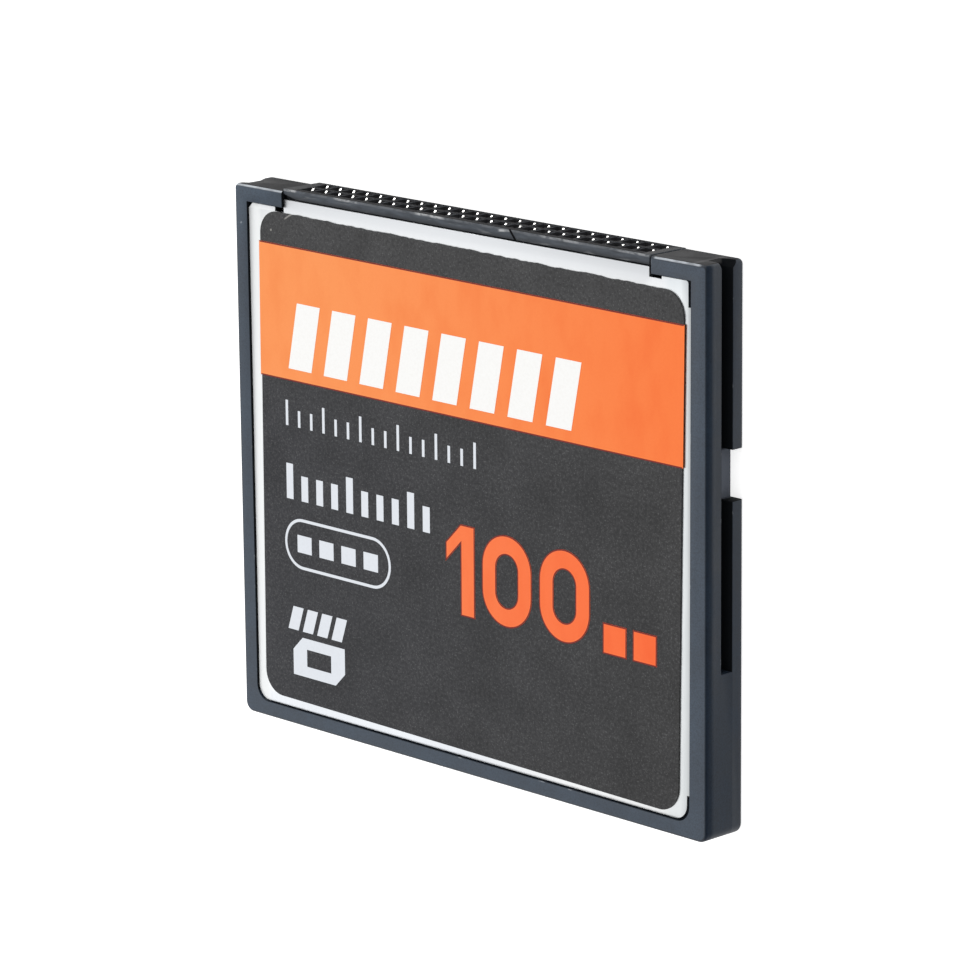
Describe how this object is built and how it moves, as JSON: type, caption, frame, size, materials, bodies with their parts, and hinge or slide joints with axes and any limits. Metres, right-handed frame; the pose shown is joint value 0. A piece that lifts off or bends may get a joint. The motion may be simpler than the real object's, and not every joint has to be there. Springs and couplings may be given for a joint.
{
  "type": "compact flash card",
  "caption": "Thin rectangular memory card with a moulded frame, side guide grooves, metal covers, a banded label and a socket connector along one end.",
  "frame": {"origin": "middle of the back face, on the surface that the card lies on", "axes": "+X across the card to its right side seen from the label, +Y towards the connector end, +Z out of the label"},
  "size_m": [0.0428, 0.0364, 0.0033],
  "materials": {
    "frame_plastic": "fine satin grain",
    "cover_steel": "satin",
    "label_film": "matt with a fine grain",
    "band_ink": "matt",
    "white_ink": "matt",
    "connector_plastic": "satin",
    "contact_plating": "bright plating",
    "board_laminate": "solder resist",
    "chip_resin": "matt",
    "lead_tin": "dull tin",
    "capacitor_ceramic": "matt",
    "resistor_ceramic": "matt"
  },
  "bodies": {
    "root": {"frame": "frame_plastic", "front_cover": "cover_steel", "back_cover": "cover_steel", "label": "label_film", "label_band": "band_ink", "orange_print": "band_ink", "white_print": "white_ink", "connector_body": "connector_plastic", "contacts_front": "contact_plating", "contacts_back": "contact_plating", "circuit_board": "board_laminate", "memory_package": "chip_resin", "memory_leads": "lead_tin", "controller_package": "chip_resin", "controller_leads": "lead_tin", "regulator_package": "chip_resin", "regulator_leads": "lead_tin", "crystal_base": "resistor_ceramic", "crystal_lid": "cover_steel", "capacitor_bodies": "capacitor_ceramic", "capacitor_ends": "lead_tin", "resistor_bodies": "resistor_ceramic", "resistor_ends": "lead_tin"}
  },
  "joints": []
}
